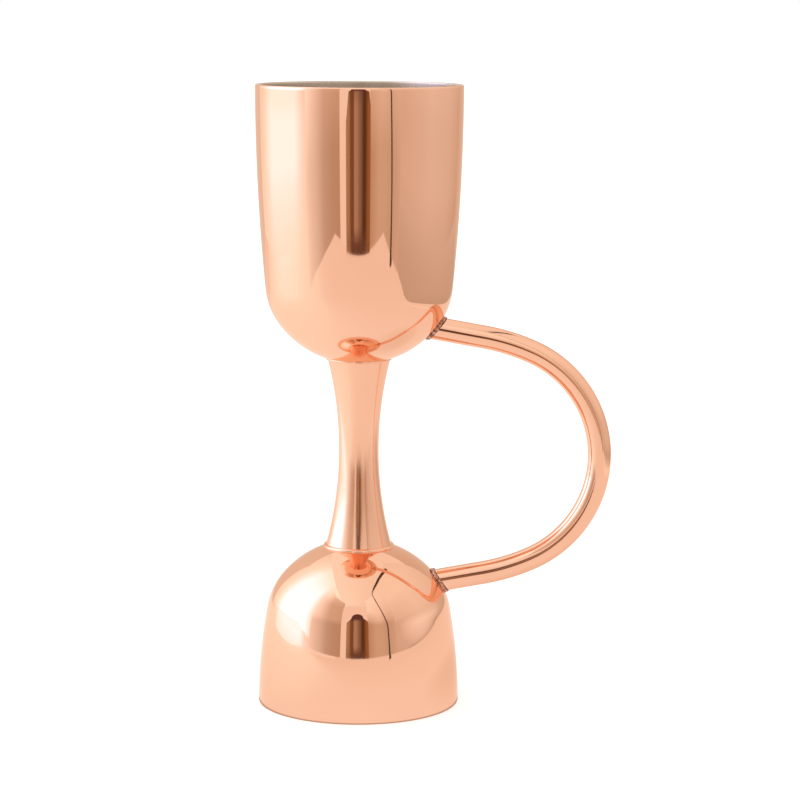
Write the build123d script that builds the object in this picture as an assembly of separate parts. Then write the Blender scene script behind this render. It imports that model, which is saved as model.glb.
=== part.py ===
from build123d import *
import math
import os
from dataclasses import dataclass

# A double bar jigger with a bow handle: two spun cups set back to back on a waisted stem.
# Millimetres, +Z up. The origin is on the cups' common axis, in the plane of the foot.
# The small cup is upside down and its rim is the foot. The handle stands out towards +X.

total_height = 128.0
quarter_turn = 90

# Both cups are spun from sheet of the same thickness, with the cut edge polished round.
cup_wall = 1.0
rim_round = 0.3

# The stem is a thin tube, waisted to one long arc, with a bead of filler at each end.
stem_waist_radius = 4.1
stem_waist_height = 53.1
stem_flare_arc = 75.9
stem_half_angle = 18.0
stem_wall = 0.8
upper_braze_size = 0.35
lower_braze_size = 0.55

# The handle is one round bar, bent in the XZ plane and the same above and below its middle.
bar_diameter = 4.8
handle_reach = 49.75
handle_middle_height = 51.7
crown_arc = 23.7
crown_half_angle = 65.7
shoulder_arc = 42.4
arm_slope = 10.2
arm_length = 18.0

# The weld beads stand up from the bar, and reach along it from the cup.
weld_height = 0.4
weld_width = 0.7
weld_round = 0.3


@dataclass
class Cup:
    """A cup's outer profile, from a vertical rim: a long wall arc, a tight knuckle, then a round bowl."""

    rim_radius: float
    wall_arc: float
    wall_turn: float
    knuckle_arc: float
    knuckle_turn: float

    def outline(self, inset=0.0):
        """The arcs from the rim down to the pole, moved in from the outer surface by the inset."""
        down = (0, -1)
        rim_point = (self.rim_radius - inset, 0)
        wall = JernArc(rim_point, down, self.wall_arc - inset, -self.wall_turn)
        knuckle = JernArc(wall @ 1, wall % 1, self.knuckle_arc - inset, -self.knuckle_turn)
        turned = self.wall_turn + self.knuckle_turn
        bowl_radius = (knuckle @ 1).X / math.cos(math.radians(turned))
        bowl = JernArc(knuckle @ 1, knuckle % 1, bowl_radius, turned - quarter_turn)
        return wall + knuckle + bowl

    def filled(self, inset=0.0):
        """The cup as a solid block, with the rim at height 0 and the pole below."""
        outline = self.outline(inset)
        section = make_face(outline + Polyline(outline @ 1, (0, 0), outline @ 0))
        return revolve(Plane.XZ * section, Axis.Z)

    def shell(self):
        """The open cup, with the rim's two edges rounded and a flat ring left between them."""
        outer = self.outline()
        inner = self.outline(cup_wall)
        section = make_face(outer + inner + Line(outer @ 0, inner @ 0) + Line(outer @ 1, inner @ 1))
        rim_corners = section.vertices().group_by(Axis.Y)[-1]
        section = fillet(rim_corners, rim_round)
        return revolve(Plane.XZ * section, Axis.Z)


large_cup = Cup(rim_radius=21.2, wall_arc=427, wall_turn=5.62, knuckle_arc=14.0, knuckle_turn=31.1)
small_cup = Cup(rim_radius=20.8, wall_arc=111.6, wall_turn=10.36, knuckle_arc=14.1, knuckle_turn=31.2)

large_cup_place = Pos(0, 0, total_height)
small_cup_place = Rot(180, 0, 0)


def filled_cups(inset=0.0):
    """Both cups as solid blocks in their places, for cutting what meets them."""
    return large_cup_place * large_cup.filled(inset) + small_cup_place * small_cup.filled(inset)


def make_stem(cups):
    """The waisted tube, cut to sit on both domes."""
    centre = (stem_waist_radius + stem_flare_arc, stem_waist_height)
    first_angle = 2 * quarter_turn - stem_half_angle
    outer = CenterArc(centre, stem_flare_arc, first_angle, 2 * stem_half_angle)
    inner = CenterArc(centre, stem_flare_arc + stem_wall, first_angle, 2 * stem_half_angle)
    section = make_face(outer + inner + Line(outer @ 0, inner @ 0) + Line(outer @ 1, inner @ 1))
    return revolve(Plane.XZ * section, Axis.Z) - cups


def make_stem_braze(stem_edge, size, neighbours):
    """A round bead of filler in the corner between the stem's end and the dome."""
    corner = stem_edge @ 0
    ring = Torus(math.hypot(corner.X, corner.Y), size)
    return Pos(0, 0, corner.Z) * ring - neighbours


def make_bar(radius):
    """A round bar along the handle's line: a crown, two shoulders, and two straight arms into the cups."""
    crown = JernArc((handle_reach, 0), (0, 1), crown_arc, crown_half_angle)
    shoulder_turn = quarter_turn - arm_slope - crown_half_angle
    shoulder = JernArc(crown @ 1, crown % 1, shoulder_arc, shoulder_turn)
    arm = Line(shoulder @ 1, shoulder @ 1 + (shoulder % 1) * arm_length)
    upper_half = crown + shoulder + arm
    route = upper_half + mirror(upper_half, Plane.XZ)
    path = Plane.XZ * Pos(0, handle_middle_height) * Wire(route.edges())
    section = Plane(path @ 0, z_dir=path % 0) * Circle(radius)
    return sweep(section, path)


def make_handle_welds(neighbours):
    """The beads of weld round the handle's two ends: collars that follow the cups, rounded outside."""
    stubs = make_bar(bar_diameter / 2 + weld_height) & filled_cups(-weld_width)
    outer_edges = stubs.edges().filter_by(GeomType.BSPLINE)
    stubs = fillet(outer_edges, weld_round)
    return (stubs - neighbours).solids().sort_by(Axis.Z)


cups = filled_cups()

stem = make_stem(cups)
cups_and_stem = cups + stem
stem_edges = stem.edges().sort_by(Axis.Z)
upper_stem_braze = make_stem_braze(stem_edges[-1], upper_braze_size, cups_and_stem)
lower_stem_braze = make_stem_braze(stem_edges[0], lower_braze_size, cups_and_stem)

handle = make_bar(bar_diameter / 2) - cups
lower_handle_weld, upper_handle_weld = make_handle_welds(cups + handle)

nodes = {
    "upper_cup": large_cup_place * large_cup.shell(),
    "lower_cup": small_cup_place * small_cup.shell(),
    "stem": stem,
    "upper_stem_braze": upper_stem_braze,
    "lower_stem_braze": lower_stem_braze,
    "handle": handle,
    "upper_handle_weld": upper_handle_weld,
    "lower_handle_weld": lower_handle_weld,
}

os.makedirs("parts", exist_ok=True)
for name, shape in nodes.items():
    export_step(shape, f"parts/{name}.step")
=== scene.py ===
import math

import bmesh
import bpy
from mathutils import Matrix, Vector
from mathutils.bvhtree import BVHTree


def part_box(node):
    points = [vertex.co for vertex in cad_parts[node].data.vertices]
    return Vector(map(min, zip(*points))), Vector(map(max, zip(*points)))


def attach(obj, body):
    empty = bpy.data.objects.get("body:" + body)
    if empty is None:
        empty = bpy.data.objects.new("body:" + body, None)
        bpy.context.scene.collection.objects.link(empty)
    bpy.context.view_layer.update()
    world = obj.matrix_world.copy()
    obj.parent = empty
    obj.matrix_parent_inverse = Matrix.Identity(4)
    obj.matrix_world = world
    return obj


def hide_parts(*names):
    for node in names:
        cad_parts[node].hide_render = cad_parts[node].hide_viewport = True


# A bar jigger: two spun cups on a waisted stem with a bow handle, mirror polished copper plate outside.
# Metres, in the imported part's frame: +Z up the cups' axis, the foot at z = 0, the handle towards +X.

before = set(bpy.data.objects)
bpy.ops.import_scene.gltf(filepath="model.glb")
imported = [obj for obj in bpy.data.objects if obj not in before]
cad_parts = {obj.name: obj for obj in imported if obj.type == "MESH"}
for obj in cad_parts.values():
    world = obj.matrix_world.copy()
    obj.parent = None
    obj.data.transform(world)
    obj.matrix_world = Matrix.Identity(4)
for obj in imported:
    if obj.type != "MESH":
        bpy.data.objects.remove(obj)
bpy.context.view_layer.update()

mm = 0.001
scene = bpy.context.scene

# ---------------------------------------------------------------- sizes, from the frame where it has them

upper_low, upper_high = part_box("upper_cup")
_, lower_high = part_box("lower_cup")
handle_low, handle_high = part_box("handle")

cup_wall = 1.0 * mm
rim_round = 0.3 * mm
bar_radius = handle_high.y
handle_reach = handle_high.x - bar_radius
handle_middle = (handle_low.z + handle_high.z) / 2

# A cup's outer profile from the rim to the bowl: (arc radius, turn in degrees) of the wall and the knuckle.
large_cup_arcs = [(427 * mm, 5.62), (14.0 * mm, 31.1)]
small_cup_arcs = [(111.6 * mm, 10.36), (14.1 * mm, 31.2)]

stem_waist_radius = 4.1 * mm
stem_waist_height = 53.1 * mm
stem_flare_arc = 75.9 * mm
stem_wall = 0.8 * mm
upper_bead_radius = 0.30 * mm
lower_bead_radius = 0.50 * mm

# The handle's line from the crown's middle to an arm: (arc radius, turn in degrees).
crown_and_shoulder = [(23.7 * mm, 65.7), (42.4 * mm, 14.1)]
# Its ends go this far into the cups' walls.
arm_sink = 0.3 * mm

# How finely the meshes are divided: points round a section, the length of a step, and counts of steps.
around_cup = 192
around_bar = 48
around_bead = 20
cup_step = 0.7 * mm
bar_step = 0.8 * mm
stem_steps = 120
arm_steps = 12


# ---------------------------------------------------------------- mesh tools

def arc_chain(start, heading, arcs, step):
    """Points along arcs that follow on smoothly.

    Each arc is (radius, turn in degrees). A positive turn is to the left, a negative one to the right.
    """
    fewest = 4
    points = [Vector(start)]
    for radius, turn in arcs:
        origin = points[-1].copy()
        side = math.copysign(radius, turn)
        count = max(fewest, round(abs(radius * math.radians(turn)) / step))
        first = math.radians(heading)
        for i in range(1, count + 1):
            angle = math.radians(heading + turn * i / count)
            move = Vector((math.sin(angle) - math.sin(first), math.cos(first) - math.cos(angle)))
            points.append(origin + side * move)
        heading += turn
    return points


def cup_outline(rim_radius, arcs, inset):
    """A cup's surface, moved in by the inset, from the rim at height 0 to the pole, and its bowl radius."""
    turned = sum(turn for _, turn in arcs)
    inner_arcs = [(radius - inset, -turn) for radius, turn in arcs]
    wall = arc_chain((rim_radius - inset, 0), -90, inner_arcs, cup_step)
    bowl_radius = wall[-1].x / math.cos(math.radians(turned))
    outline = arc_chain((rim_radius - inset, 0), -90, inner_arcs + [(bowl_radius, turned - 90)], cup_step)
    outline[-1].x = 0
    return outline, bowl_radius


def cup_section(rim_radius, arcs):
    """The whole cup's outline, from the outer pole over the rounded rim to the inner pole.

    It also gives the number of the step across the rim's flat, where the bare steel starts.
    """
    below_rim = -1.5 * rim_round
    round_step = rim_round / 5
    outer, _ = cup_outline(rim_radius, arcs, 0)
    inner, _ = cup_outline(rim_radius, arcs, cup_wall)
    outer = [p for p in outer if p.y < below_rim]
    inner = [p for p in inner if p.y < below_rim]
    rim_out = arc_chain((rim_radius, -rim_round), 90, [(rim_round, 90)], round_step)
    rim_in = arc_chain((rim_radius - cup_wall + rim_round, 0), 180, [(rim_round, 90)], round_step)
    return outer[::-1] + rim_out + rim_in + inner, len(outer) + len(rim_out) - 1


def mesh_object(name, bm, material):
    """A smooth shaded object with this material, made from the bmesh."""
    bmesh.ops.recalc_face_normals(bm, faces=bm.faces)
    mesh = bpy.data.meshes.new(name)
    bm.to_mesh(mesh)
    bm.free()
    for face in mesh.polygons:
        face.use_smooth = True
    piece = bpy.data.objects.new(name, mesh)
    scene.collection.objects.link(piece)
    mesh.materials.append(material)
    return piece


def bridge(bm, first, second, closed=True):
    """Quads between two rings of the same length, or triangles where one is a single point."""
    count = max(len(first), len(second))
    for i in range(count if closed else count - 1):
        j = (i + 1) % count
        near, far = first[i % len(first)], first[j % len(first)]
        corners = [near, far, second[j % len(second)], second[i % len(second)]]
        bm.faces.new(list(dict.fromkeys(corners)))


def revolve(name, section, material, loop=False):
    """The section, a list of (radius, height), turned about the Z axis. A pole stays a single point."""
    on_axis = 1e-9
    bm = bmesh.new()
    rings = []
    for point in section:
        if point.x < on_axis:
            rings.append([bm.verts.new((0, 0, point.y))])
            continue
        ring = []
        for i in range(around_cup):
            angle = 2 * math.pi * i / around_cup
            ring.append(bm.verts.new((point.x * math.cos(angle), point.x * math.sin(angle), point.y)))
        rings.append(ring)
    for first, second in zip(rings, rings[1:]):
        bridge(bm, first, second)
    if loop:
        bridge(bm, rings[-1], rings[0])
    return mesh_object(name, bm, material)


# ---------------------------------------------------------------- materials

def new_material(name):
    """A node material, with its nodes, its links and its Principled shader."""
    material = bpy.data.materials.new(name)
    material.use_nodes = True
    nodes, links = material.node_tree.nodes, material.node_tree.links
    return material, nodes, links, nodes["Principled BSDF"]


def add_node(nodes, kind, **settings):
    """A new node. A setting is the value of the input with that name, or else a property of the node."""
    node = nodes.new(kind)
    for key, value in settings.items():
        if key in node.inputs:
            node.inputs[key].default_value = value
        else:
            setattr(node, key, value)
    return node


def place_parts(nodes, links):
    """The x, y and z of a place in the row frame."""
    split = nodes.new("ShaderNodeSeparateXYZ")
    links.new(nodes.new("ShaderNodeTexCoord").outputs["Object"], split.inputs["Vector"])
    return split.outputs["X"], split.outputs["Y"], split.outputs["Z"]


def noise(nodes, links, scale, detail=2.0):
    """A noise over the row frame, as a value from 0 to 1."""
    texture = add_node(nodes, "ShaderNodeTexNoise", Scale=scale, Detail=detail)
    links.new(nodes.new("ShaderNodeTexCoord").outputs["Object"], texture.inputs["Vector"])
    return texture.outputs["Fac"]


def lathe_lines(nodes, links, scale, detail=3.0):
    """Fine rings about the cups' axis: a noise that changes with height and radius alone."""
    x, y, z = place_parts(nodes, links)
    flat = nodes.new("ShaderNodeCombineXYZ")
    links.new(x, flat.inputs["X"])
    links.new(y, flat.inputs["Y"])
    radius = add_node(nodes, "ShaderNodeVectorMath", operation="LENGTH")
    links.new(flat.outputs["Vector"], radius.inputs[0])
    ring = nodes.new("ShaderNodeCombineXYZ")
    links.new(radius.outputs["Value"], ring.inputs["X"])
    links.new(z, ring.inputs["Z"])
    texture = add_node(nodes, "ShaderNodeTexNoise", Scale=scale, Detail=detail)
    links.new(ring.outputs["Vector"], texture.inputs["Vector"])
    return texture.outputs["Fac"]


def ramp(nodes, links, value, stops):
    """The value through a ramp of (position, colour or grey) stops."""
    node = nodes.new("ShaderNodeValToRGB")
    elements = node.color_ramp.elements
    while len(elements) < len(stops):
        elements.new(0.5)
    for element, (position, colour) in zip(elements, stops):
        element.position = position
        element.color = (*colour, 1) if hasattr(colour, "__len__") else (colour, colour, colour, 1)
    links.new(value, node.inputs["Fac"])
    return node.outputs["Color"]


def bump(nodes, links, heights):
    """A normal from a list of (height value, strength, distance), each laid over the last."""
    normal = None
    for value, strength, distance in heights:
        node = add_node(nodes, "ShaderNodeBump", Strength=strength, Distance=distance)
        links.new(value, node.inputs["Height"])
        if normal:
            links.new(normal, node.inputs["Normal"])
        normal = node.outputs["Normal"]
    return normal


copper_bright = (0.965, 0.556, 0.384)
copper_deep = (0.945, 0.530, 0.360)
copper_edge = (1.0, 0.90, 0.82, 1)


def plated_copper(name, cloud_scale, haze_scale, roughness, relief):
    """Copper plate of almost one colour, with a soft haze. relief(nodes, links) gives bump its heights."""
    material, nodes, links, shader = new_material(name)
    shader.inputs["Metallic"].default_value = 1.0
    shader.inputs["Specular Tint"].default_value = copper_edge
    cloud = noise(nodes, links, cloud_scale)
    colour = ramp(nodes, links, cloud, [(0.3, copper_deep), (0.7, copper_bright)])
    links.new(colour, shader.inputs["Base Color"])
    haze = noise(nodes, links, haze_scale, 4.0)
    smoothest, roughest = roughness
    links.new(ramp(nodes, links, haze, [(0.3, smoothest), (0.75, roughest)]), shader.inputs["Roughness"])
    links.new(bump(nodes, links, relief(nodes, links)), shader.inputs["Normal"])
    return material


def turned_relief(wave_scale):
    """The polishing wheel's soft waves and, much finer, the lathe's rings."""
    def relief(nodes, links):
        waves = noise(nodes, links, wave_scale, 1.0)
        return [(waves, 0.06, 0.05 * mm), (lathe_lines(nodes, links, 5000.0), 0.02, 0.001 * mm)]
    return relief


def drawn_relief(nodes, links):
    """The faint unevenness of a drawn bar."""
    return [(noise(nodes, links, 140.0), 0.16, 0.06 * mm)]


def polished_copper():
    """The cups' and stem beads' plate, polished to a mirror."""
    return plated_copper("polished_copper", 45.0, 160.0, (0.02, 0.05), turned_relief(60.0))


def satin_copper():
    """The stem's plate, polished less than the cups: it spreads what it reflects a little."""
    return plated_copper("satin_copper", 60.0, 240.0, (0.13, 0.18), turned_relief(90.0))


def drawn_copper():
    """The handle bar's plate: nearly as bright as the cups, and a little uneven."""
    return plated_copper("drawn_copper", 60.0, 240.0, (0.05, 0.10), drawn_relief)


def spun_steel():
    """The bare steel inside the cups, with the rings that spinning leaves."""
    material, nodes, links, shader = new_material("spun_steel")
    shader.inputs["Metallic"].default_value = 1.0
    rings = lathe_lines(nodes, links, 2600.0, 5.0)
    grey = ramp(nodes, links, rings, [(0.3, (0.60, 0.50, 0.41)), (0.7, (0.70, 0.59, 0.49))])
    links.new(grey, shader.inputs["Base Color"])
    links.new(ramp(nodes, links, rings, [(0.3, 0.30), (0.7, 0.40)]), shader.inputs["Roughness"])
    links.new(bump(nodes, links, [(rings, 0.12, 0.01 * mm)]), shader.inputs["Normal"])
    return material


def plated_weld(name, dark, bright):
    """The weld beads' plate: uneven, dark and dull in places, bright and polished in others."""
    material, nodes, links, shader = new_material(name)
    shader.inputs["Metallic"].default_value = 1.0
    dirt = noise(nodes, links, 1500.0, 3.0)
    links.new(ramp(nodes, links, dirt, [(0.38, dark), (0.62, bright)]), shader.inputs["Base Color"])
    links.new(ramp(nodes, links, dirt, [(0.3, 0.42), (0.7, 0.2)]), shader.inputs["Roughness"])
    links.new(bump(nodes, links, [(noise(nodes, links, 2600.0), 0.5, 0.05 * mm)]), shader.inputs["Normal"])
    return material


copper = polished_copper()
stem_copper = satin_copper()
bar_copper = drawn_copper()
steel = spun_steel()
weld_crown = plated_weld("plated_weld", (0.26, 0.12, 0.08), (0.78, 0.48, 0.37))
# A darker copy of the weld plate: painted shade for the bead's sides in the corners against the bar and the
# cup.
weld_painted_shade = plated_weld("weld_painted_shade", (0.10, 0.035, 0.02), (0.32, 0.14, 0.085))


# ---------------------------------------------------------------- the cups

def make_cup(name, node, rim_radius, arcs, place):
    """One spun cup: copper outside, and bare steel from the rim's flat inwards."""
    section, steel_from = cup_section(rim_radius, arcs)
    cup = revolve(name, section, copper)
    cup.data.materials.append(steel)
    faces_in_row = around_cup
    for face in cup.data.polygons:
        if face.index // faces_in_row >= steel_from:
            face.material_index = 1
    cup.data.transform(place)
    cup.data.update()
    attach(cup, "root")
    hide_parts(node)
    return cup


upper_place = Matrix.Translation((0, 0, upper_high.z))
lower_place = Matrix.Rotation(math.pi, 4, "X")
upper_cup = make_cup("upper_cup_shell", "upper_cup", upper_high.x, large_cup_arcs, upper_place)
lower_cup = make_cup("lower_cup_shell", "lower_cup", lower_high.x, small_cup_arcs, lower_place)


# ---------------------------------------------------------------- the stem and its beads

def stem_radius(height, inset=0.0):
    """The stem's radius at a height, for its surface moved in by the inset."""
    drop = height - stem_waist_height
    arc = stem_flare_arc + inset
    return stem_waist_radius + stem_flare_arc - math.sqrt(arc * arc - drop * drop)


def dome_meeting(rim_radius, arcs, pole, up, inset):
    """The height where the stem's surface, moved in by the inset, meets a dome. up is 1 or -1.

    The height and the radius there depend on each other, so a few rounds settle both.
    """
    rounds = 20
    _, bowl_radius = cup_outline(rim_radius, arcs, 0)
    centre = pole + up * bowl_radius
    height = pole
    for _ in range(rounds):
        radius = stem_radius(height, inset)
        height = centre - up * math.sqrt(bowl_radius ** 2 - radius ** 2)
    return height


def stem_edges(inset):
    """The heights where the stem's surface, moved in by the inset, meets the lower and the upper dome."""
    low = dome_meeting(lower_high.x, small_cup_arcs, lower_high.z, -1, inset)
    high = dome_meeting(upper_high.x, large_cup_arcs, upper_low.z, 1, inset)
    return low, high


def stem_side(inset):
    """The stem's surface, moved in by the inset: a list of (radius, height), lowest first."""
    low, high = stem_edges(inset)
    heights = [low + (high - low) * i / stem_steps for i in range(stem_steps + 1)]
    return [Vector((stem_radius(height, inset), height)) for height in heights]


def make_stem():
    """The waisted tube between the domes, with its ends closed by the wall's thickness."""
    stem = revolve("stem_tube", stem_side(0) + stem_side(stem_wall)[::-1], stem_copper, loop=True)
    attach(stem, "root")
    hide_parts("stem")


def make_stem_bead(name, node, height, size):
    """A thin round bead of filler at one end of the stem."""
    centre = Vector((stem_radius(height), height))
    section = []
    for i in range(around_bead):
        angle = 2 * math.pi * i / around_bead
        section.append(centre + size * Vector((math.cos(angle), math.sin(angle))))
    bead = revolve(name, section, copper, loop=True)
    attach(bead, "root")
    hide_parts(node)


make_stem()
stem_low, stem_high = stem_edges(0)
make_stem_bead("upper_stem_bead", "upper_stem_braze", stem_high, upper_bead_radius)
make_stem_bead("lower_stem_bead", "lower_stem_braze", stem_low, lower_bead_radius)


# ---------------------------------------------------------------- the handle and its welds

def handle_path():
    """The bent part of the bar's centre line, from the upper arm round the crown to the lower arm."""
    half = arc_chain((handle_reach, 0), 90, crown_and_shoulder, bar_step)
    upper = [Vector((p.x, 0, handle_middle + p.y)) for p in half]
    lower = [Vector((p.x, 0, handle_middle - p.y)) for p in half]
    return upper[::-1] + lower[1:]


def bar_ring(centre, tangent):
    """The bar's section at one place: a list of (point, outward direction)."""
    side = Vector((tangent.z, 0, -tangent.x))
    ring = []
    for i in range(around_bar):
        angle = 2 * math.pi * i / around_bar
        out = side * math.cos(angle) + Vector((0, 1, 0)) * math.sin(angle)
        ring.append((centre + out * bar_radius, out))
    return ring


def cup_tree(cup):
    """The cup's faces in a tree that lines can be cast at."""
    bm = bmesh.new()
    bm.from_mesh(cup.data)
    tree = BVHTree.FromBMesh(bm)
    bm.free()
    return tree


def straight_arm(ring, cup, inward):
    """An arm from the ring to just inside the cup: its rows of points, and where it goes into the cup."""
    tree = cup_tree(cup)
    foot = [tree.ray_cast(point, inward)[0] for point, _ in ring]
    sunk = [point + inward * arm_sink for point in foot]
    rows = []
    for k in range(1, arm_steps + 1):
        rows.append([start.lerp(end, k / arm_steps) for (start, _), end in zip(ring, sunk)])
    return rows, foot


def make_handle():
    """The bent bar, its ends cut to the cups.

    It gives what a weld needs at each end: foot points, outward directions and the way out along the arm.
    """
    path = handle_path()
    rings = []
    for i, centre in enumerate(path):
        before, after = path[max(i - 1, 0)], path[min(i + 1, len(path) - 1)]
        rings.append(bar_ring(centre, (after - before).normalized()))
    slope = math.radians(90 - sum(turn for _, turn in crown_and_shoulder))
    arms = []
    ends = []
    for ring, cup, rise in ((rings[0], upper_cup, 1), (rings[-1], lower_cup, -1)):
        inward = Vector((-math.cos(slope), 0, rise * math.sin(slope)))
        arm, foot = straight_arm(ring, cup, inward)
        arms.append(arm)
        ends.append((foot, [out for _, out in ring], -inward))
    rows = arms[0][::-1] + [[point for point, _ in ring] for ring in rings] + arms[1]
    bm = bmesh.new()
    verts = [[bm.verts.new(point) for point in row] for row in rows]
    for first, second in zip(verts, verts[1:]):
        bridge(bm, first, second)
    bm.faces.new(verts[0])
    bm.faces.new(verts[-1][::-1])
    handle = mesh_object("handle_bar", bm, bar_copper)
    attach(handle, "root")
    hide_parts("handle")
    return ends


def make_weld(name, node, foot, outs, along):
    """A rippled bead round the end of the bar, in the corner between it and the cup."""
    ripples, swelling = 21, 0.22
    lift, stand_off = 0.30 * mm, 0.02 * mm
    half_width, half_height = 0.27 * mm, 0.48 * mm
    finer = 6
    count = around_bar * finer
    bm = bmesh.new()
    rings = []
    for i in range(count):
        here, after = i // finer, (i // finer + 1) % around_bar
        between = i % finer / finer
        out = outs[here].lerp(outs[after], between).normalized()
        centre = foot[here].lerp(foot[after], between) + along * lift + out * stand_off
        phase = ripples * i / count % 1
        swell = 1 + swelling * (abs(math.sin(math.pi * phase)) - 0.5)
        ring = []
        for k in range(around_bead):
            angle = 2 * math.pi * k / around_bead
            reach = out * math.cos(angle) * half_width + along * math.sin(angle) * half_height
            ring.append(bm.verts.new(centre + reach * swell))
        rings.append(ring)
    for first, second in zip(rings, rings[1:] + rings[:1]):
        bridge(bm, first, second)
    weld = mesh_object(name, bm, weld_crown)
    weld.data.materials.append(weld_painted_shade)
    # The faces that look away from the bar keep the crown's plate. The others, in the corners against the
    # bar and the cup, have a darker copy of it: painted shade.
    crown_half = around_bead // 10
    for face in weld.data.polygons:
        step = face.index % around_bead
        if crown_half <= step < around_bead - crown_half:
            face.material_index = 1
    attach(weld, "root")
    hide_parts(node)


upper_end, lower_end = make_handle()
make_weld("upper_handle_bead", "upper_handle_weld", *upper_end)
make_weld("lower_handle_bead", "lower_handle_weld", *lower_end)


# ---------------------------------------------------------------- the studio, seen only in reflections
# Most places and lights of the cards start from the photograph: scratch scripts traced its reflections back
# into the room and printed tables, whose values were mostly rounded, thinned and adjusted by hand.

# Polished metal shows its surroundings, so these are cards of plain light: a white tent's cloth, the softbox
# on the left, the floor and the dark opening in front of the lens.
# Light is written as (red, green, blue), 1 being the white of the background.
# A bearing is in degrees round the jigger: 0 towards the camera, 90 towards +X, -90 towards -X.

# The strength of every card's light. Its colour is then the part of this strength that it gives.
brightest = 3.0
# The cloth ends this far above the floor.
hem = 12 * mm


def glow(name, paint):
    """A material that only gives light. paint(nodes, links) gives the colour, as a part of the brightest."""
    material = bpy.data.materials.new(name)
    material.use_nodes = True
    nodes, links = material.node_tree.nodes, material.node_tree.links
    nodes.clear()
    light = add_node(nodes, "ShaderNodeEmission", Strength=brightest)
    links.new(paint(nodes, links), light.inputs["Color"])
    output = nodes.new("ShaderNodeOutputMaterial")
    links.new(light.outputs["Emission"], output.inputs["Surface"])
    return material


def share(nodes, links, value, low, high):
    """How far the value is from low to high, from 0 to 1."""
    node = nodes.new("ShaderNodeMapRange")
    for key, setting in (("From Min", low), ("From Max", high), ("To Min", 0), ("To Max", 1)):
        node.inputs[key].default_value = setting
    links.new(value, node.inputs["Value"])
    return node.outputs["Result"]


def light_ramp(nodes, links, value, low, high, stops):
    """Light along a value that runs from low to high: stops is a list of (value, light)."""
    scaled = [((at - low) / (high - low), [part / brightest for part in light]) for at, light in stops]
    return ramp(nodes, links, share(nodes, links, value, low, high), scaled)


def tent_paint(name, levels):
    """Light by height and bearing: levels is a list of (height, [(bearing, light), ...]), lowest first."""
    def paint(nodes, links):
        x, y, z = place_parts(nodes, links)
        towards = add_node(nodes, "ShaderNodeMath", operation="MULTIPLY")
        towards.inputs[1].default_value = -1
        links.new(y, towards.inputs[0])
        bearing = add_node(nodes, "ShaderNodeMath", operation="ARCTAN2")
        links.new(x, bearing.inputs[0])
        links.new(towards.outputs["Value"], bearing.inputs[1])
        colour = None
        for height, stops in levels:
            in_radians = [(math.radians(at), light) for at, light in stops]
            here = light_ramp(nodes, links, bearing.outputs["Value"], -math.pi, math.pi, in_radians)
            if colour is None:
                colour, below = here, height
                continue
            # A colour mix has its two colours at inputs 6 and 7, and the result at output 2.
            blend = add_node(nodes, "ShaderNodeMix", data_type="RGBA")
            links.new(share(nodes, links, z, below, height), blend.inputs["Factor"])
            links.new(colour, blend.inputs[6])
            links.new(here, blend.inputs[7])
            colour, below = blend.outputs[2], height
        return colour
    return glow(name, paint)


def across_paint(name, left, right, stops):
    """Light that changes from left to right: stops is a list of (x, light)."""
    def paint(nodes, links):
        x, _, _ = place_parts(nodes, links)
        return light_ramp(nodes, links, x, left, right, stops)
    return glow(name, paint)


def plain_light(name, light):
    """The same light all over."""
    def paint(nodes, links):
        node = nodes.new("ShaderNodeRGB")
        node.outputs["Color"].default_value = (*[part / brightest for part in light], 1)
        return node.outputs["Color"]
    return glow(name, paint)


def only_in_reflections(card):
    """The card shows in the polished metal and nowhere else: not to the camera, and it shades nothing."""
    card.visible_camera = False
    card.visible_diffuse = False
    card.visible_shadow = False
    card.visible_transmission = False


def on_bearing(bearing, distance):
    """The x and y of a place, from its bearing and its distance from the jigger's axis."""
    angle = math.radians(bearing)
    return distance * math.sin(angle), -distance * math.cos(angle)


def strip(name, low, high, material):
    """A card between a low and a high edge, each a list of points."""
    bm = bmesh.new()
    low_edge = [bm.verts.new(point) for point in low]
    high_edge = [bm.verts.new(point) for point in high]
    bridge(bm, low_edge, high_edge, closed=False)
    only_in_reflections(mesh_object(name, bm, material))


def wall(name, plan, bottom, material):
    """An upright card along a line on the floor. plan is a list of (bearing, distance, top)."""
    low = [(*on_bearing(bearing, distance), bottom) for bearing, distance, _ in plan]
    high = [(*on_bearing(bearing, distance), top) for bearing, distance, top in plan]
    strip(name, low, high, material)


def flat_card(name, corners, material):
    """A flat card with these corners."""
    bm = bmesh.new()
    bm.faces.new([bm.verts.new(corner) for corner in corners])
    return mesh_object(name, bm, material)


def sheet(name, corners, material):
    """A flat card that only reflections show."""
    only_in_reflections(flat_card(name, corners, material))


def level_square(half, height):
    """The corners of a level square about the Z axis, half a side long each way."""
    return [(x * half, y * half, height) for x, y in ((-1, -1), (1, -1), (1, 1), (-1, 1))]


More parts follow.
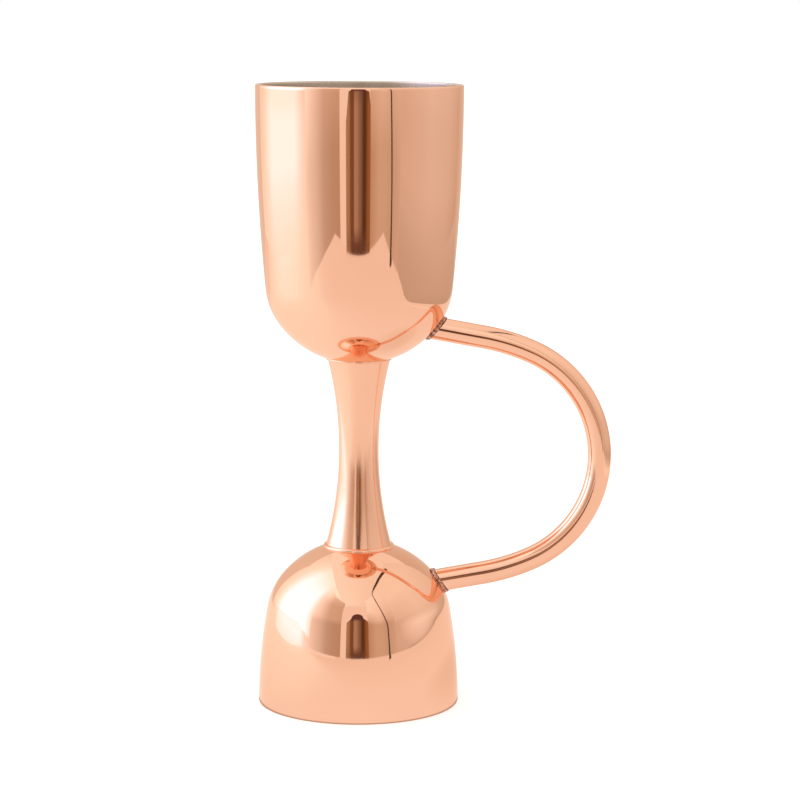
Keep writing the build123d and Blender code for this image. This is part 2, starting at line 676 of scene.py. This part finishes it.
def tent_front_left():
    """The cloth in front on the left: bright next to the softbox, and brown towards the opening."""
    foot = [(-60, (1.04, 1.05, 1.05)), (-54, (0.92, 0.90, 0.88)), (-46, (0.78, 0.73, 0.70)),
            (-38, (0.61, 0.51, 0.45)), (-29, (0.55, 0.44, 0.36)), (-20, (0.54, 0.41, 0.31))]
    low = [(-60, (1.05, 1.07, 1.09)), (-54, (0.90, 0.88, 0.86)), (-46, (0.78, 0.73, 0.70)),
           (-38, (0.61, 0.52, 0.46)), (-29, (0.55, 0.44, 0.35)), (-20, (0.54, 0.41, 0.31))]
    high = [(-60, (1.34, 1.38, 1.55)), (-54, (1.12, 1.14, 1.18)), (-46, (0.92, 0.88, 0.84)),
            (-38, (0.73, 0.63, 0.56)), (-20, (0.68, 0.56, 0.45))]
    top = [(-60, (1.40, 1.50, 1.65)), (-46, (1.12, 1.15, 1.12)), (-38, (0.90, 0.82, 0.76)),
           (-20, (0.76, 0.69, 0.60))]
    levels = [(hem, foot), (0.075, low), (0.13, high), (0.30, high), (0.44, top)]
    plan = [(-59, 0.290, 0.60), (-52, 0.320, 0.56), (-38.8, 0.360, 0.46), (-26.6, 0.411, 0.44),
            (-19.4, 0.390, 0.38)]
    wall("tent_front_left", plan, hem, tent_paint("cloth_left", levels))


def tent_front_right():
    """The cloth in front on the right, from the opening past the seam."""
    low = [(12, (0.54, 0.39, 0.27)), (22, (0.66, 0.55, 0.44)), (30, (0.66, 0.55, 0.44)),
           (36, (0.60, 0.50, 0.42)), (46, (0.69, 0.59, 0.52))]
    middle = [(12, (0.78, 0.68, 0.59)), (26, (0.88, 0.80, 0.74)), (36, (0.78, 0.69, 0.62)),
              (46, (0.82, 0.73, 0.65))]
    high = [(12, (1.04, 1.06, 1.02)), (30, (1.00, 0.93, 0.87)), (36, (0.92, 0.86, 0.79)),
            (46, (0.93, 0.86, 0.78))]
    top = [(12, (1.10, 1.16, 1.14)), (30, (1.04, 1.02, 0.97)), (46, (1.01, 0.97, 0.92))]
    levels = [(0.075, low), (0.13, middle), (0.23, high), (0.42, top)]
    plan = [(12, 0.356, 0.42), (28.1, 0.415, 0.62), (36.4, 0.359, 0.66), (45.7, 0.317, 0.66)]
    wall("tent_front_right", plan, hem, tent_paint("cloth_right", levels))


def tent_gap():
    """The white cloth between those two, behind the dark opening."""
    plan = [(-20.2, 0.388, 0.30), (-14, 0.370, 0.30), (0, 0.352, 0.30), (12, 0.356, 0.30)]
    wall("tent_gap", plan, hem, plain_light("cloth_gap", (0.98, 0.93, 0.89)))


def shelf():
    """A shaded shelf just above the floor on the right."""
    edge = [(45.7, 0.322), (52.9, 0.290), (57, 0.272), (62.5, 0.222), (69, 0.203), (85, 0.195),
            (100, 0.198), (120, 0.216), (138.7, 0.270), (165, 0.640)]
    outline = [on_bearing(*place) for place in edge] + [(0.46, 0.62), (0.46, -0.45)]
    stops = [(0.18, (0.59, 0.52, 0.44)), (0.30, (0.64, 0.57, 0.50)), (0.46, (0.73, 0.67, 0.60))]
    sheet("shelf", [(x, y, hem) for x, y in outline], across_paint("shelf_light", 0.1, 0.5, stops))


def tent_side():
    """The cloth on the right, beyond the shelf."""
    foot = [(40, (0.69, 0.59, 0.52)), (60, (0.73, 0.66, 0.59)), (85, (0.73, 0.67, 0.60)),
            (115, (0.71, 0.65, 0.58)), (145, (0.63, 0.53, 0.44))]
    low = [(40, (0.72, 0.62, 0.54)), (60, (0.76, 0.67, 0.60)), (85, (0.80, 0.75, 0.69)),
           (115, (0.77, 0.71, 0.65)), (145, (0.66, 0.56, 0.47))]
    high = [(40, (0.80, 0.71, 0.63)), (60, (0.86, 0.79, 0.72)), (85, (0.93, 0.88, 0.81)),
            (115, (0.90, 0.83, 0.76)), (145, (0.85, 0.74, 0.65))]
    top = [(40, (1.01, 0.98, 0.92)), (90, (1.02, 0.99, 0.92)), (145, (0.95, 0.90, 0.83))]
    levels = [(hem, foot), (0.04, low), (0.09, low), (0.16, high), (0.60, top)]
    plan = [(42, 0.640, 1.28), (90, 0.450, 1.28), (130, 0.587, 1.28), (143, 0.750, 1.28)]
    wall("tent_side", plan, hem, tent_paint("cloth_side", levels))


# The light low on the softbox, and on the floor right in front of it.
softbox_low = [(-150, (0.92, 0.85, 0.79)), (-131, (1.04, 1.08, 1.03)), (-113, (1.46, 1.52, 1.76)),
               (-75, (1.46, 1.52, 1.76)), (-62, (1.03, 1.03, 1.02))]


def softbox():
    """The big soft light on the left, well outside the tent."""
    core, top_core = (1.90, 1.98, 2.72), (1.42, 1.52, 1.66)
    above_cloth = [(-61, (1.36, 1.38, 1.56)), (-44, (1.35, 1.42, 1.46)), (-28, (1.10, 1.16, 1.14))]
    high = [(-150, (1.02, 1.05, 0.99)), (-131, (1.16, 1.28, 1.28)), (-113, core), (-70, core), *above_cloth]
    top = [(-150, (1.05, 1.06, 1.02)), (-115, top_core), (-70, top_core), *above_cloth]
    levels = [(0.055, softbox_low), (0.09, high), (1.80, high), (4.20, top)]
    plan = [(-154, 4.56, 5.0), (-90, 2.00, 5.0), (-28, 4.26, 5.0)]
    wall("softbox", plan, 0, tent_paint("softbox_light", levels))


def softbox_spill():
    """The bright floor in front of the softbox, rising a little towards it."""
    near_core, core = (1.28, 1.36, 1.47), (1.58, 1.63, 2.00)
    near = [(-150, (1.02, 1.00, 0.97)), (-128, (1.08, 1.20, 1.22)), (-110, near_core), (-78, near_core),
            (-62, (1.08, 1.13, 1.14)), (-50, (1.00, 0.95, 0.92))]
    middle = [(-150, (0.94, 0.88, 0.83)), (-131, (1.08, 1.14, 1.11)), (-113, core), (-75, core),
              (-62, (1.08, 1.10, 1.13))]
    edge, rise = 0.5 * mm, 20 * mm
    levels = [(edge, near), (0.3 * rise, middle), (0.7 * rise, middle), (rise, softbox_low)]
    corners = [(-0.48, -1.0, edge), (-0.48, 1.0, edge), (-2.0, 3.5, rise), (-2.0, -3.5, rise)]
    sheet("softbox_spill", corners, tent_paint("spill_light", levels))


def softbox_sill():
    """A bright strip along the softbox's foot, which the lower cup shows."""
    # From the front it is edge-on to the upper cup, but from the left and behind that cup has a thin line.
    low, full, high = 2 * mm, 17 * mm, 30 * mm
    cup_side = 19.5 * mm
    # Each place is (bearing, distance of the strip's low edge, height on the upper cup that it points at).
    places = [(-120, 0.205, 0.084), (-103, 0.226, 0.085), (-86, 0.282, 0.086), (-79.3, 0.357, 0.092),
              (-75, 0.436, 0.097), (-72, 0.516, 0.102), (-66, 0.620, 0.106)]
    core = (1.70, 1.75, 2.30)
    dim = [(-120, (1.12, 1.17, 1.16)), (-114, (1.45, 1.50, 1.75)), (-72, (1.50, 1.58, 1.85)),
           (-66, (1.14, 1.16, 1.20))]
    bright = [(-120, (1.14, 1.20, 1.20)), (-114, (1.58, 1.63, 1.95)), (-96, core), (-73, core),
              (-66, (1.18, 1.20, 1.28))]
    low_edge = []
    high_edge = []
    for bearing, distance, height in places:
        point = Vector((*on_bearing(bearing, distance), low))
        aim = Vector((*on_bearing(bearing / 2, cup_side), height))
        low_edge.append(point)
        high_edge.append(point.lerp(aim, (high - low) / (height - low)))
    strip("softbox_sill", low_edge, high_edge, tent_paint("sill_light", [(low, dim), (full, bright)]))


def tent_back():
    """The cloth behind the jigger, which only the cups' outermost edges reflect."""
    left, right, back, top = -0.5, 0.46, 0.6, 0.6
    corners = [(left, back, 0), (right, back, 0), (right, back, top), (left, back, top)]
    stops = [(-0.6, (0.90, 0.83, 0.77)), (0.45, (0.72, 0.62, 0.53))]
    sheet("tent_back", corners, across_paint("cloth_back", -0.6, 0.45, stops))


def ceiling():
    """The tent's top, a little brighter on the softbox's side."""
    left, reach, height = -0.50, 1.4, 1.27
    corners = [(x, y, height) for x, y in ((left, -reach), (reach, -reach), (reach, reach), (left, reach))]
    stops = [(-0.4, (1.10, 1.14, 1.12)), (0.1, (1.03, 1.02, 0.97)), (0.3, (1.01, 0.98, 0.92))]
    sheet("ceiling", corners, across_paint("ceiling_light", -reach, reach, stops))


def low_glow():
    """A soft glow low on the right that fades out at its edge."""
    # It too is edge-on to the upper cup from the front.
    centre, lean, half_width = Vector((0.125, -0.020, 0.028)), Vector((0.030, 0, -0.017)), 0.085
    across = Vector((0, half_width, 0))
    low, high = centre + lean, centre - lean
    corners = [high - across, low - across, low + across, high + across]
    material = plain_light("low_glow", (1.06, 1.06, 1.03))
    nodes, links = material.node_tree.nodes, material.node_tree.links
    spread = add_node(nodes, "ShaderNodeMapping", vector_type="TEXTURE")
    spread.inputs["Location"].default_value = centre
    spread.inputs["Scale"].default_value = (lean.x, half_width, 1)
    links.new(nodes.new("ShaderNodeTexCoord").outputs["Object"], spread.inputs["Vector"])
    away = add_node(nodes, "ShaderNodeVectorMath", operation="LENGTH")
    links.new(spread.outputs["Vector"], away.inputs[0])
    fade = ramp(nodes, links, away.outputs["Value"], [(0.2, 0.8), (0.6, 0.45), (1.0, 0.0)])
    mix = nodes.new("ShaderNodeMixShader")
    surface = nodes["Material Output"].inputs["Surface"]
    light = surface.links[0].from_socket
    links.new(fade, mix.inputs["Fac"])
    links.new(nodes.new("ShaderNodeBsdfTransparent").outputs["BSDF"], mix.inputs[1])
    links.new(light, mix.inputs[2])
    links.new(mix.outputs["Shader"], surface)
    sheet("low_glow", corners, material)


def lens_opening():
    """The dark opening that the camera looks through: a slot with a round top and sloping shoulders."""
    foot = [(-13, (0.40, 0.28, 0.18)), (-9, (0.30, 0.18, 0.10)), (-8, (0.16, 0.08, 0.05)),
            (8, (0.14, 0.07, 0.05)), (9, (0.28, 0.14, 0.06)), (12, (0.30, 0.15, 0.07))]
    wide = [(-13, (0.44, 0.31, 0.20)), (-10, (0.42, 0.28, 0.17)), (-9, (0.22, 0.11, 0.05)),
            (-5.5, (0.20, 0.10, 0.05)), (-4.5, (0.46, 0.32, 0.23)), (-0.5, (0.42, 0.29, 0.21)),
            (0.5, (0.27, 0.18, 0.13)), (3.5, (0.25, 0.16, 0.11)), (4.5, (0.11, 0.05, 0.02)),
            (8, (0.11, 0.05, 0.02)), (9, (0.30, 0.14, 0.06)), (12, (0.32, 0.16, 0.07))]
    head = [(-9, (0.12, 0.06, 0.05)), (9, (0.12, 0.06, 0.05))]
    paint = tent_paint("opening_light", [(0.018, foot), (0.030, wide), (0.105, wide), (0.135, head)])
    y, half, centre, top = -0.343, 0.044, -0.003, 0.188
    round_steps = 24
    outline = [(-0.083, hem), (0.078, hem), (0.076, 0.105), (centre + half + 0.006, 0.135)]
    for i in range(round_steps + 1):
        angle = math.pi * i / round_steps
        outline.append((centre + half * math.cos(angle), top - half + half * math.sin(angle)))
    outline += [(centre - half - 0.012, 0.120), (-0.082, 0.095)]
    sheet("lens_opening", [(x, y, z) for x, z in outline], paint)


def tent_seam():
    """The dark seam of the tent's door: up its front right edge, then back over the right side."""
    narrow, foot, wide = 1, 1.7, 2.6
    # Each place is (bearing, distance, height, how wide the seam is there).
    line = [(37.5, 0.355, 0.006, foot), (37.0, 0.355, 0.035, narrow), (36.0, 0.355, 0.075, narrow),
            (34.3, 0.36, 0.12, narrow), (29, 0.37, 0.34, narrow), (28, 0.36, 0.58, narrow),
            (32, 0.33, 0.64, narrow), (42, 0.27, 0.65, wide), (60, 0.22, 0.63, wide),
            (90, 0.19, 0.58, wide), (125, 0.23, 0.47, wide)]
    curve = bpy.data.curves.new("tent_seam", "CURVE")
    curve.dimensions = "3D"
    curve.bevel_depth = 4.6 * mm
    spline = curve.splines.new("NURBS")
    spline.points.add(len(line) - 1)
    for point, (bearing, distance, height, width) in zip(spline.points, line):
        point.co = (*on_bearing(bearing, distance), height, 1)
        point.radius = width
    spline.order_u = 3
    spline.use_endpoint_u = True
    seam = bpy.data.objects.new("tent_seam", curve)
    scene.collection.objects.link(seam)
    curve.materials.append(plain_light("seam_dark", (0.10, 0.06, 0.04)))
    only_in_reflections(seam)


def away_from(nodes, links, centre, stretch=1.0):
    """The distance from a place on the floor, with Y counted stretch times."""
    stretched = add_node(nodes, "ShaderNodeVectorMath", operation="MULTIPLY")
    stretched.inputs[1].default_value = (1, stretch, 1)
    links.new(nodes.new("ShaderNodeTexCoord").outputs["Object"], stretched.inputs[0])
    away = add_node(nodes, "ShaderNodeVectorMath", operation="DISTANCE")
    away.inputs[1].default_value = (centre[0], centre[1] * stretch, 0)
    links.new(stretched.outputs["Vector"], away.inputs[0])
    return away.outputs["Value"]


def shaded_by(nodes, links, light, shade):
    """The light times a shade, which is 1 where it takes nothing away."""
    product = add_node(nodes, "ShaderNodeVectorMath", operation="MULTIPLY")
    links.new(light, product.inputs[0])
    links.new(shade, product.inputs[1])
    scaled = add_node(nodes, "ShaderNodeVectorMath", operation="SCALE")
    scaled.inputs["Scale"].default_value = brightest
    links.new(product.outputs["Vector"], scaled.inputs[0])
    return scaled.outputs["Vector"]


def floor_glow():
    """The floor as the metal reflects it: bright by the softbox, shaded on the right and at the foot."""
    reach, height = 2.5, 0.1 * mm
    source, towards_camera = (-1.00, 0.05), 2.2
    farthest, shade_reach = 1.5, 0.2
    open_floor = [(0.40, (1.52, 1.58, 1.88)), (0.56, (1.32, 1.39, 1.52)), (0.66, (1.18, 1.31, 1.37)),
                  (0.83, (1.08, 1.15, 1.14)), (0.90, (1.06, 1.12, 1.10)), (0.956, (1.05, 1.07, 1.04)),
                  (0.992, (1.02, 1.00, 0.97)), (1.03, (1.00, 0.95, 0.92)), (1.12, (0.98, 0.91, 0.86)),
                  (1.40, (0.95, 0.88, 0.82))]
    right_shade = [(0, (0.90, 0.85, 0.80)), (0.020, (0.93, 0.89, 0.85)), (0.045, (1, 1, 1))]
    foot_shade = [(lower_high.x, (0.30, 0.24, 0.20)), (lower_high.x + 0.9 * mm, (1, 1, 1))]

    def paint(nodes, links):
        away = away_from(nodes, links, source, towards_camera)
        light = light_ramp(nodes, links, away, 0, farthest, open_floor)
        for centre, stops in (((0.045, 0.022), right_shade), ((0, 0), foot_shade)):
            shade = light_ramp(nodes, links, away_from(nodes, links, centre), 0, shade_reach, stops)
            light = shaded_by(nodes, links, light, shade)
        return light
    sheet("floor_glow", level_square(reach, height), glow("floor_light", paint))


tent_front_left()
tent_front_right()
tent_gap()
shelf()
tent_side()
softbox()
softbox_spill()
softbox_sill()
tent_back()
ceiling()
low_glow()
lens_opening()
tent_seam()
floor_glow()


# ---------------------------------------------------------------- the floor, the world and the camera

def make_floor():
    """A plain white floor with only a faint shadow under the foot. Reflections show floor_glow instead."""
    material, _, _, shader = new_material("floor_white")
    shader.inputs["Base Color"].default_value = (0.94, 0.94, 0.94, 1)
    shader.inputs["Roughness"].default_value = 1.0
    shader.inputs["Specular IOR Level"].default_value = 0.0
    shader.inputs["Emission Color"].default_value = (1, 1, 1, 1)
    shader.inputs["Emission Strength"].default_value = 0.30
    reach = 6.0
    floor = flat_card("floor", level_square(reach, 0), material)
    floor.visible_glossy = False


def make_world():
    """Even white light from all round, which is also the background."""
    world = bpy.data.worlds.new("tent_white")
    world.use_nodes = True
    world.node_tree.nodes["Background"].inputs["Color"].default_value = (1, 1, 1, 1)
    scene.world = world


def make_camera():
    """A long lens in front of the jigger, a little above it, looking slightly down."""
    place = (8.46 * mm, -548.4 * mm, 146.95 * mm)
    pitch, roll = math.radians(90 - 8.67), math.radians(0.25)
    turn = Matrix.Rotation(pitch, 4, "X") @ Matrix.Rotation(roll, 4, "Z")
    camera = bpy.data.objects.new("camera", bpy.data.cameras.new("camera"))
    scene.collection.objects.link(camera)
    camera.matrix_world = Matrix.Translation(place) @ turn
    camera.data.sensor_width = 36
    camera.data.lens = 121.1
    camera.data.clip_start = 0.01
    scene.camera = camera


make_floor()
make_world()
make_camera()
scene.view_settings.view_transform = "Standard"
